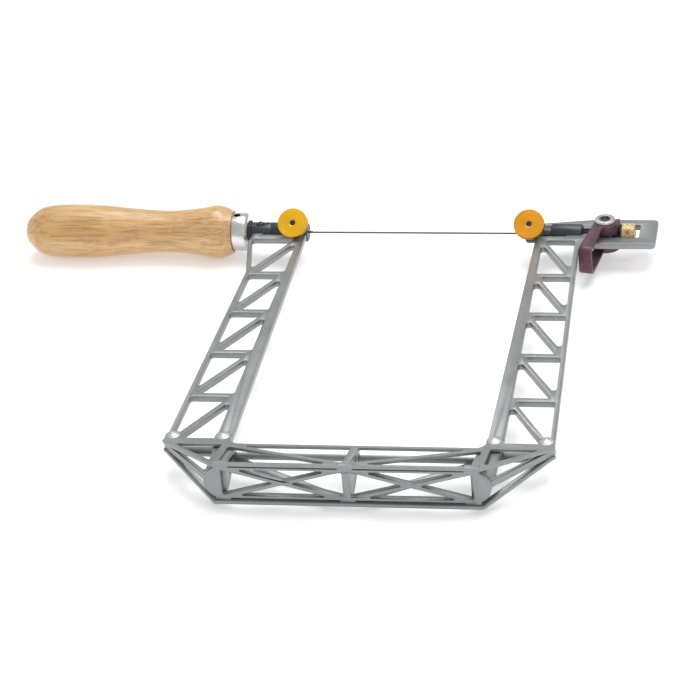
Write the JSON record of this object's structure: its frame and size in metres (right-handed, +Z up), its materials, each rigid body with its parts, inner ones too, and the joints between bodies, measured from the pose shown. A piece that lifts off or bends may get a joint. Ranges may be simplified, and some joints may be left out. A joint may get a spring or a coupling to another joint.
{
  "type": "deep-throat fret saw",
  "caption": "Deep-throat fret saw with a folded truss spine, turned wooden handle, swivelling blade clamps with thumb knobs, and a cam lever with a nut for tension.",
  "frame": {"origin": "middle of the bounding box on the floor, with the saw lying flat", "axes": "+X along the blade from the handle to the tension lever, +Y from the spine to the blade, +Z up out of the frame's plane"},
  "size_m": [0.328, 0.2458, 0.0286],
  "materials": {
    "lacquered_wood": "turned and lacquered",
    "nickel": "bright nickel plate",
    "titanium_grey": "satin, bead blasted",
    "steel_rivet": "domed heads, satin",
    "black_oxide": "black oxide, oiled",
    "bright_steel": "turned",
    "blade_steel": "blued spring steel",
    "gold_anodised": "gold anodised",
    "plum_anodised": "plum anodised",
    "brass": "knurled"
  },
  "bodies": {
    "frame": {"handle_grip": "lacquered_wood", "handle_ferrule": "nickel", "lock_nut": "black_oxide", "handle_arm": "titanium_grey", "tension_arm": "titanium_grey", "cage_top_sheet": "titanium_grey", "cage_bottom_sheet": "titanium_grey", "cage_web": "titanium_grey", "cage_brace_handle_end": "titanium_grey", "cage_brace_middle": "titanium_grey", "cage_brace_tension_end": "titanium_grey", "cage_rivets": "steel_rivet", "fixed_housing": "black_oxide", "housing_screw": "black_oxide", "housing_nut": "black_oxide", "fixed_keeper_screw": "black_oxide", "fixed_detent_ball": "bright_steel", "fixed_detent_spring": "bright_steel", "pivot_barrel": "black_oxide", "pivot_screws": "bright_steel"},
    "lever": {"tension_lever": "plum_anodised"},
    "thrust": {"thrust_washer": "black_oxide"},
    "nut": {"tension_nut": "brass"},
    "slider": {"tension_slider": "black_oxide", "tension_rod": "black_oxide", "tension_keeper_screw": "black_oxide", "tension_detent_ball": "bright_steel", "tension_detent_spring": "bright_steel"},
    "blade_clamp": {"fixed_clamp_head": "black_oxide", "blade": "blade_steel"},
    "tension_clamp": {"tension_clamp_head": "black_oxide"},
    "fixed_washer": {"fixed_clamp_washer": "bright_steel"},
    "fixed_knob": {"fixed_clamp_knob": "gold_anodised", "fixed_clamp_screw": "black_oxide"},
    "tension_washer": {"tension_clamp_washer": "bright_steel"},
    "tension_knob": {"tension_clamp_knob": "gold_anodised", "tension_clamp_screw": "black_oxide"}
  },
  "joints": [
    {"name": "lever_swing", "type": "hinge", "parent": "frame", "child": "lever", "pos_m": [0.13815, 0.10899, 0.01392], "axis": [0, 0, 1], "range_deg": [0, 100]},
    {"name": "thrust_slide", "type": "slide", "parent": "frame", "child": "thrust", "axis": [1, 0, 0], "range_m": [-0.001, 0]},
    {"name": "nut_spin", "type": "hinge", "parent": "thrust", "child": "nut", "pos_m": [0.14975, 0.10899, 0.01392], "axis": [1, 0, 0], "range_deg": [-360, 360]},
    {"name": "slider_draw", "type": "slide", "parent": "thrust", "child": "slider", "axis": [1, 0, 0], "range_m": [-0.0005, 0.0005]},
    {"name": "fixed_swivel", "type": "hinge", "parent": "frame", "child": "blade_clamp", "pos_m": [-0.03325, 0.10899, 0.01392], "axis": [1, 0, 0], "range_deg": [-90, 0]},
    {"name": "tension_swivel", "type": "hinge", "parent": "slider", "child": "tension_clamp", "pos_m": [0.11115, 0.10899, 0.01392], "axis": [1, 0, 0], "range_deg": [-90, 0]},
    {"name": "fixed_washer_lift", "type": "slide", "parent": "blade_clamp", "child": "fixed_washer", "axis": [0, -0.7071, 0.7071], "range_m": [0, 0.001]},
    {"name": "fixed_knob_turn", "type": "hinge", "parent": "fixed_washer", "child": "fixed_knob", "pos_m": [-0.02075, 0.10591, 0.01933], "axis": [0, -0.7071, 0.7071], "range_deg": [0, 720]},
    {"name": "tension_washer_lift", "type": "slide", "parent": "tension_clamp", "child": "tension_washer", "axis": [0, -0.7071, 0.7071], "range_m": [0, 0.001]},
    {"name": "tension_knob_turn", "type": "hinge", "parent": "tension_washer", "child": "tension_knob", "pos_m": [0.10055, 0.10591, 0.01933], "axis": [0, -0.7071, 0.7071], "range_deg": [0, 720]}
  ],
  "couplings": [
    {"joint": "lever_swing", "follows": "thrust_slide", "rad_per_m": -1745.2},
    {"joint": "nut_spin", "follows": "slider_draw", "rad_per_m": -12565},
    {"joint": "tension_swivel", "follows": "fixed_swivel", "ratio": 1},
    {"joint": "fixed_washer_lift", "follows": "fixed_knob_turn", "m_per_rad": 0.00007957},
    {"joint": "tension_washer_lift", "follows": "tension_knob_turn", "m_per_rad": 0.00007957}
  ]
}
